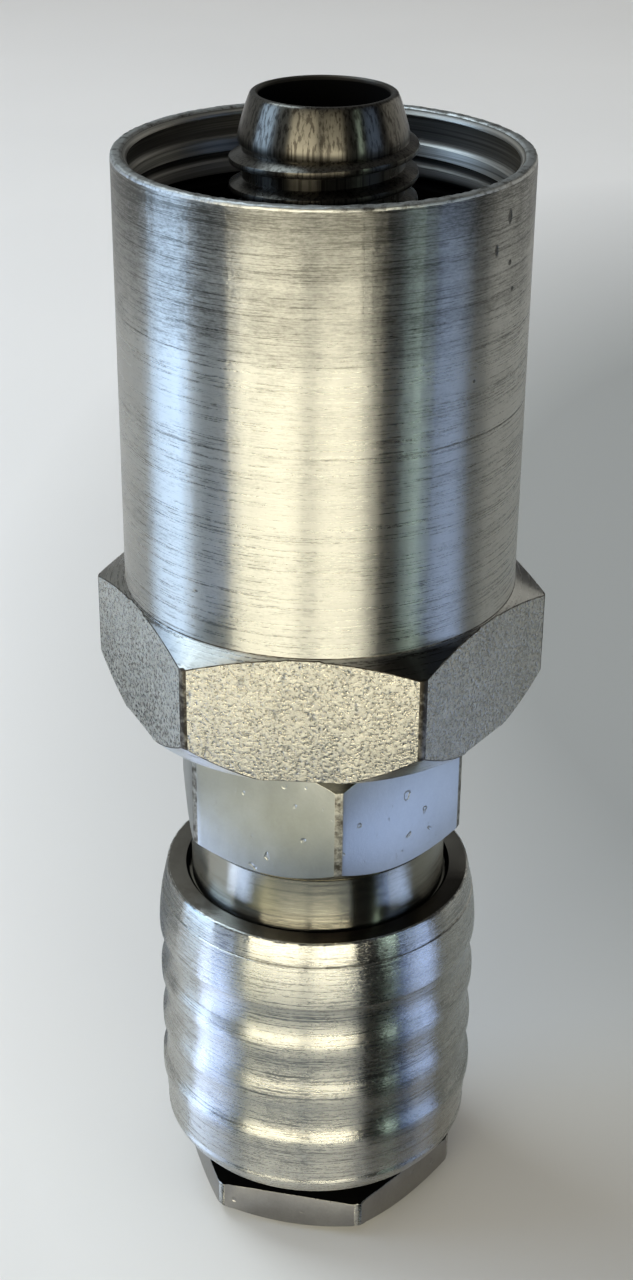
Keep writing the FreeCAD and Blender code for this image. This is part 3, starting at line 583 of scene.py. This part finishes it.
def make_socket():
    """Socket: hexagon, plain cylinder with a worn rim, and the coarse thread inside."""
    hex_top = socket_low + 10.5
    corner_r = socket_af / 2 / math.cos(math.radians(180 / FLATS))
    foot_r = socket_af / 2 + 0.33
    foot_slope = math.tan(math.radians(50))
    top_slope = math.tan(math.radians(28))
    shoulder_high = socket_top - 0.3
    edge_r = cylinder_r - 0.05
    edge_high = socket_top - 0.1
    rim_r = cylinder_r - 0.2
    seat_r = 9.95
    floor_high = socket_low + 9
    mouth_r = 15.0
    crest_r = 14.45
    root_r = 14.9
    pitch = 1.75
    turns = 8
    thread_top = socket_top - 1.2
    thread_low = thread_top - pitch * turns
    piece = turned("socket_shell", [
        (seat_r, socket_low + 0.8),
        (10.75, socket_low),
        (foot_r, socket_low),
        (corner_r, socket_low + (corner_r - foot_r) * foot_slope),
        (corner_r, hex_top - (corner_r - cylinder_r) * top_slope),
        (cylinder_r + 0.12, hex_top - 0.06),
        (cylinder_r, hex_top + 0.06),
        (cylinder_r, shoulder_high),
        (edge_r, edge_high),
        (rim_r, socket_top),
        (mouth_r, socket_top),
        (14.82, socket_top - 0.12),
        (crest_r, socket_top - 0.5),
        (root_r, socket_top - 0.75),
        (root_r, thread_low - 1.5),
        (crest_r, thread_low - 2),
        (crest_r, floor_high),
        (seat_r, floor_high),
    ], (cylinder_finish, socket_flats, edge_finish, rim_finish, mouth_finish))
    batter(piece, edge_r, edge_high, 0.035, seed=3)
    batter(piece, cylinder_r, shoulder_high, 0.02, seed=5)
    batter(piece, rim_r, socket_top, 0.035, seed=8)
    batter(piece, mouth_r, socket_top, 0.035, seed=11)
    mill_flats(piece, socket_af, socket_turn, slot=1)
    round_corners(piece, 17, socket_low, hex_top, width=0.4, slot=2)
    break_edges(piece, 0.12, slot=2)
    give_faces(piece, 3, lambda centre, normal: centre.z > shoulder_high + NEAR
               and centre.xy.length > 14.8)
    give_faces(piece, 4, lambda centre, normal: centre.z > socket_low + 5
               and centre.xy.length < 14.95 and centre.z < edge_high)
    thread = wind("hose_thread", [
        (root_r + 0.1, thread_low),
        (crest_r, thread_low - 0.5),
        (crest_r, thread_low - 1.4),
        (root_r + 0.1, thread_low - 1.6),
    ], pitch, turns, start_angle=-90, root_r=root_r + 0.08, finish=mouth_finish)
    join(piece, thread)
    smooth(piece)
    return piece


def make_tail():
    """Hose tail: nose with its wound ridge, stem, hexagon, neck and skirt."""
    hex_low = socket_low - 12.2
    hex_high = socket_low - 1.6
    flat_r = tail_af / 2 - 0.12
    corner_r = 12.65
    slope = math.tan(math.radians(43))
    rise = (corner_r - tail_af / 2) * slope
    skirt_r = 11.1
    skirt_high = tail_low + 2.2
    neck_r = 10.85
    thread_r = 9.9
    core_r = 6.4
    stem_r = 6.05
    bore_r = 4.8
    chamber_r = 8.25
    seat_r = 8.8
    seat_high = tail_low + 8.5
    cone_low = nose_top - 3.6
    pitch = 2.0
    turns = 4
    ridge_top = cone_low + 0.28
    ridge_low = ridge_top - pitch * turns
    piece = turned("hose_tail_turned", [
        (seat_r, tail_low),
        (skirt_r, tail_low),
        (skirt_r, skirt_high),
        (neck_r, skirt_high),
        (neck_r, hex_low - 0.25),
        (neck_r + 0.2, hex_low),
        (flat_r, hex_low),
        (corner_r, hex_low + rise),
        (corner_r, hex_high - rise),
        (flat_r, hex_high),
        (thread_r, hex_high),
        (thread_r, hex_high + 9),
        (core_r, hex_high + 14),
        (core_r, ridge_low - 2),
        (stem_r, ridge_low - 1),
        (stem_r, cone_low - 0.5),
        (6.1, cone_low - 0.2),
        (6.28, cone_low - 0.02),
        (6.34, cone_low + 0.12),
        (6.33, cone_low + 0.6),
        (6.22, cone_low + 1.1),
        (5.97, cone_low + 1.95),
        (5.72, cone_low + 2.75),
        (5.53, cone_low + 3.25),
        (5.42, cone_low + 3.48),
        (5.28, nose_top - 0.02),
        (5.02, nose_top),
        (4.88, nose_top - 0.12),
        (bore_r, nose_top - 0.35),
        (bore_r, body_top + 2.4),
        (chamber_r, body_top + 0.4),
        (chamber_r, seat_high),
        (seat_r, seat_high),
    ], (neck_finish, tail_flats, corner_finish, nose_finish, bore_finish))
    mill_flats(piece, tail_af, tail_turn, slot=1)
    give_faces(piece, 2, lambda centre, normal: hex_low + 0.1 < centre.z < hex_high
               and centre.xy.length > 12.3)
    give_faces(piece, 3, lambda centre, normal: centre.z > socket_low + 8
               and centre.xy.length > bore_r + 0.15)
    give_faces(piece, 4, lambda centre, normal: centre.xy.length < bore_r + 0.15)
    break_edges(piece, 0.07, slot=-1)
    ridge = wind("hose_ridge", [
        (stem_r - 0.1, ridge_low - 0.55),
        (6.72, ridge_low - 0.4),
        (6.98, ridge_low - 0.28),
        (7.04, ridge_low - 0.1),
        (7.0, ridge_low + 0.12),
        (6.6, ridge_low + 0.36),
        (stem_r - 0.1, ridge_low + 0.62),
    ], pitch, turns, start_angle=90, root_r=stem_r - 0.05, finish=nose_finish)
    join(piece, ridge)
    smooth(piece)
    return piece


def make_sleeve():
    """Locking sleeve: turned grip with its finger grooves, bore and ball land."""
    bore_r = 11.15
    bevel = 0.25
    land_r = 9.95
    top = sleeve_top
    low = sleeve_low
    land_low = low + 4.7
    land_high = low + 9.3
    grooves = []
    for crest_depth, crest_r, valley_r in GRIP_GROOVES:
        crest = top - crest_depth
        fall = crest_r - valley_r
        grooves += [
            (crest_r - 0.06 * fall, crest + 1.15),
            (crest_r, crest + 0.6),
            (crest_r - 0.02, crest + 0.1),
            (crest_r - 0.14, crest),
            (crest_r - 0.45 * fall, crest - 0.12),
            (valley_r + 0.2 * fall, crest - 0.75),
            (valley_r + 0.04 * fall, crest - 1.5),
            (valley_r, crest - 2.1),
            (valley_r + 0.1 * fall, crest - 2.7),
            (valley_r + 0.4 * fall, crest - 3.3),
        ]
    piece = turned("locking_sleeve_turned", [
        (bore_r + bevel, top),
        (12.86, top),
        (13.0, top - 0.07),
        (13.08, top - 0.22),
        (13.42, top - 1.9),
        (13.36, top - 1.98),
        (13.36, top - 2.08),
        (13.47, top - 2.14),
        (13.62, top - 3.0),
        (13.74, top - 4.1),
    ] + grooves[:-2] + [
        (13.42, low + 2.5),
        (13.4, low + 2.2),
        (13.47, low + 2.05),
        (13.46, low + 1.8),
        (13.36, low + 1.5),
        (13.05, low + 0.95),
        (12.62, low + 0.4),
        (12.15, low),
        (bore_r + bevel, low),
        (bore_r, low + bevel),
        (bore_r, land_low),
        (land_r, land_low),
        (land_r, land_high),
        (bore_r, land_high),
        (bore_r, top - bevel),
    ], (sleeve_finish, ring_finish, bore_finish))
    batter(piece, 13.0, top - 0.07, 0.02, seed=4)
    batter(piece, 13.08, top - 0.22, 0.02, seed=6)
    give_faces(piece, 1, lambda centre, normal: centre.z > top - 0.01)
    give_faces(piece, 2, lambda centre, normal: centre.xy.length < bore_r + 0.23)
    smooth(piece)
    return piece


def make_plug():
    """Plug body: thin hexagon, collar and probe with its ball race and port."""
    hex_high = plug_low + 3.8
    corner_r = 12.42
    foot_r = 9.9
    foot_slope = math.tan(math.radians(28))
    collar_r = 9.3
    collar_high = hex_high + 2.3
    probe_r = 7.4
    race_r = 6.65
    race_z = sleeve_low + 7
    seat_r = 3.9
    passage_r = 5.2
    port_r = 5.72
    port_high = plug_low + 8.5
    piece = turned("plug_turned", [
        (port_r + 0.7, plug_low),
        (foot_r, plug_low),
        (corner_r, plug_low + (corner_r - foot_r) * foot_slope),
        (corner_r, hex_high),
        (collar_r, hex_high),
        (collar_r, collar_high),
        (probe_r, collar_high),
        (probe_r, race_z - 1.43),
        (race_r, race_z - 0.68),
        (race_r, race_z + 0.68),
        (probe_r, race_z + 1.43),
        (probe_r, probe_top - 0.6),
        (probe_r - 0.6, probe_top),
        (seat_r, probe_top),
        (seat_r, probe_top - 1.8),
        (passage_r, probe_top - 3.1),
        (passage_r, port_high),
        (port_r, port_high),
        (port_r, plug_low + 0.7),
    ], (sleeve_finish, plug_flats, bore_finish))
    mill_flats(piece, plug_af, plug_turn, slot=1)
    break_edges(piece, 0.07, slot=-1)
    # The hexagon's top face, under the sleeve, takes the bore's painted shade and shows black.
    give_faces(piece, 2, lambda centre, normal: abs(centre.z - hex_high) < 0.005)
    smooth(piece)
    return piece


inner_finish = {
    "coupler_body": neck_finish,
    "locking_balls": ball_steel,
    "sleeve_spring": spring_steel,
    "sleeve_stop_ring": spring_steel,
    "mouth_seal": rubber,
    "body_seal": rubber,
    "back_up_ring": ring_plastic,
}
for half in ("coupler", "plug"):
    inner_finish[half + "_valve"] = steel
    inner_finish[half + "_valve_seal"] = rubber
    inner_finish[half + "_valve_guide"] = steel
    inner_finish[half + "_guide_clip"] = spring_steel
    inner_finish[half + "_valve_spring"] = spring_steel
for node, material in inner_finish.items():
    give(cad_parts[node], material)

for piece, node, body in (
        (make_socket(), "socket", "coupler"),
        (make_tail(), "hose_tail", "coupler"),
        (make_sleeve(), "locking_sleeve", "sleeve"),
        (make_plug(), "plug_body", "plug")):
    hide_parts(node)
    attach(piece, body)


# Floor, light and camera

FLOOR_SIZE = 6
LAMP_REACH = 0.7


def make_floor():
    """A plain pale floor, with a soft painted shadow behind the coupling's right side."""
    deselect()
    bpy.ops.mesh.primitive_plane_add(size=FLOOR_SIZE)
    floor = bpy.context.object
    floor.name = "floor"
    finish = Finish("floor_paint", metallic=0.0)
    cloud = finish.noise((0.012, 0.012, 0.012), detail=2)
    paint = finish.mix(cloud, (0.77, 0.745, 0.72, 1), (0.82, 0.79, 0.76, 1))
    # Painted shadow on the floor, behind and right of the coupling.
    painted_shadow = finish.spot(140, 156, 0, (150, 230, 100))
    finish.use(base_color=finish.mix(painted_shadow * 0.85, paint, (0.27, 0.27, 0.255, 1)), roughness=0.8)
    finish.surface.inputs["Specular IOR Level"].default_value = 0.1
    give(floor, finish.material)


def make_lamp(name, place, aim, width, height, colour, radiance, in_steel=True):
    """A soft panel at a place, in metres, that faces the point it aims at.
    When it isn't in the steel, it lights what is dull and shows in no reflection."""
    deselect()
    bpy.ops.object.light_add(type="AREA", location=place)
    lamp = bpy.context.object
    lamp.name = name
    lamp.rotation_mode = "QUATERNION"
    lamp.rotation_quaternion = (Vector(aim) - Vector(place)).to_track_quat("-Z", "Y")
    lamp.visible_camera = False
    lamp.visible_glossy = in_steel
    lamp.data.shape = "RECTANGLE"
    lamp.data.size = width
    lamp.data.size_y = height
    lamp.data.color = colour
    lamp.data.energy = radiance * math.pi * width * height


def make_upright_lamp(name, azimuths, heights, colour, radiance):
    """A panel standing round the coupling. Azimuth 0 is the viewer's side, 90 the right."""
    middle = math.radians(sum(azimuths) / 2)
    half = math.radians(azimuths[1] - azimuths[0]) / 2
    place = (LAMP_REACH * math.sin(middle), -LAMP_REACH * math.cos(middle), sum(heights) / 2)
    make_lamp(name, place, (0, 0, place[2]), 2 * LAMP_REACH * math.tan(half),
              heights[1] - heights[0], colour, radiance)


def make_low_lamp(name, x, y, length, width, colour, radiance):
    """A small panel lying on the floor, which lights the lower steel from below."""
    make_lamp(name, (x, y, MM), (x, y, 1), length, width, colour, radiance)


def make_card(name, azimuths, near, far, colour):
    """A card on the floor between two azimuths, from a near to a far distance in metres.
    It shows in the coupling's steel alone."""
    deselect()
    middle = math.radians(sum(azimuths) / 2)
    half = math.radians(azimuths[1] - azimuths[0]) / 2
    bpy.ops.mesh.primitive_plane_add(size=1)
    card = bpy.context.object
    card.name = name
    for vertex in card.data.vertices:
        reach = near if vertex.co.y > 0 else far
        vertex.co = (math.copysign(reach * math.tan(half), vertex.co.x), -reach, 0.5 * MM)
    card.rotation_euler.z = middle
    settle(card)
    card.visible_camera = False
    card.visible_shadow = False
    card.visible_diffuse = False
    finish = Finish(name, metallic=0.0)
    fibre = finish.noise((1, 1, 1), detail=2)
    light, dark = ((*(level * share for level in colour), 1) for share in (1.15, 0.85))
    finish.use(base_color=finish.mix(fibre, dark, light), roughness=0.9)
    finish.surface.inputs["Specular IOR Level"].default_value = 0.0
    give(card, finish.material)


def make_camera():
    """The camera at the photograph's angle. Its focal length is in the photograph's pixels."""
    place = (0, -0.15509, 0.1336)
    pitch = math.radians(27.29)
    yaw = math.radians(-0.09)
    roll = math.radians(0.46)
    photo_height, focal_length = 1280, 2121.7
    sensor = 36
    level = math.cos(pitch)
    ahead = Vector((math.sin(yaw) * level, math.cos(yaw) * level, -math.sin(pitch)))
    right = Vector((math.cos(yaw), -math.sin(yaw), 0))
    up = right.cross(ahead)
    tilted_right = right * math.cos(roll) + up * math.sin(roll)
    tilted_up = up * math.cos(roll) - right * math.sin(roll)
    camera = bpy.data.objects.new("camera", bpy.data.cameras.new("camera"))
    bpy.context.scene.collection.objects.link(camera)
    turn = Matrix((tilted_right, tilted_up, -ahead)).transposed()
    camera.matrix_world = Matrix.Translation(place) @ turn.to_4x4()
    camera.data.sensor_width = sensor
    camera.data.lens = sensor * focal_length / photo_height
    camera.data.clip_start = 0.005
    bpy.context.scene.camera = camera


make_floor()
make_camera()
for name, azimuths, near, far, colour in (
        ("grey_card", (-72, 28), 0.022, 0.5, (0.19, 0.23, 0.27)),
        ("black_card", (28, 62), 0.022, 0.5, (0.01, 0.012, 0.012)),
        ("shade_card", (62, 150), 0.022, 0.5, (0.36, 0.37, 0.36)),
        ("near_card", (-150, -106), 0.055, 0.125, (0.15, 0.16, 0.17)),
        ("sleeve_card", (-176, -126), 0.024, 0.054, (0.3, 0.31, 0.33))):
    make_card(name, azimuths, near, far, colour)

warm = (1.0, 0.94, 0.73)
white = (1.0, 0.97, 0.93)
sky = (0.44, 0.66, 1.0)
low_sky = (0.5, 0.64, 1.0)
for name, azimuths, heights, colour, radiance in (
        ("front_lamp_left", (-47, -8.5), (0.0, 0.3), warm, 6.9),
        ("front_lamp_right", (-4.5, 26), (0.0, 0.14), warm, 11.8),
        ("window_lamp", (-103, -76), (0.0, 0.5), sky, 4.6),
        ("strip_lamp", (49, 52.5), (0.0, 0.4), (0.75, 1.0, 0.88), 4.8),
        ("side_lamp", (60, 82), (0.0, 0.4), (0.4, 0.6, 1.0), 0.9),
        ("wall_lamp", (98, 150), (0.05, 0.4), (1.0, 1.0, 0.94), 0.65)):
    make_upright_lamp(name, azimuths, heights, colour, radiance)
make_lamp("sky_lamp", (-0.31, 0.18, 0.66), (0, 0, 0.05), 0.3, 0.3, (0.7, 0.86, 1.0), 6.5)
make_lamp("back_lamp", (-0.4, 0.32, 0.4), (-0.12, 0.16, 0), 0.3, 0.3, white, 2.0, in_steel=False)
make_lamp("ceiling_lamp", (0, 0, 3), (0, 0, 0), 5, 5, white, 0.6, in_steel=False)
for name, x, y, length, width, colour, radiance in (
        ("low_window_lamp", -0.036, -0.014, 0.024, 0.02, low_sky, 2.5),
        ("low_neck_lamp", -0.058, -0.022, 0.02, 0.026, low_sky, 5.0),
        ("low_left_lamp", -0.055, -0.058, 0.036, 0.036, (1.0, 0.92, 0.5), 1.0),
        ("low_front_lamp", -0.014, -0.115, 0.09, 0.06, warm, 2.4),
        ("low_side_lamp", 0.095, -0.025, 0.1, 0.03, (0.38, 0.54, 1.0), 2.3)):
    make_low_lamp(name, x, y, length, width, colour, radiance)

world = bpy.data.worlds.new("room")
bpy.context.scene.world = world
world.use_nodes = True
room = Shading(world.node_tree)
ahead = room.node("ShaderNodeTexCoord", output="Generated")
window = Vector((-0.75, 0.3, 0.6)).normalized()
towards_window = room.node("ShaderNodeVectorMath", {"operation": "DOT_PRODUCT"},
                           {0: ahead, 1: window}, output=1)
room_light = room.node("ShaderNodeValToRGB",
                       {"stops": [(0.2, 0.02), (0.6, 0.07), (1.0, (0.32, 0.34, 0.34, 1))]},
                       {"Fac": towards_window * 0.5 + 0.5})
world.node_tree.links.new(room_light.socket, world.node_tree.nodes["Background"].inputs["Color"])
world.node_tree.nodes["Background"].inputs["Strength"].default_value = 1.0

bpy.context.scene.view_settings.view_transform = "Standard"
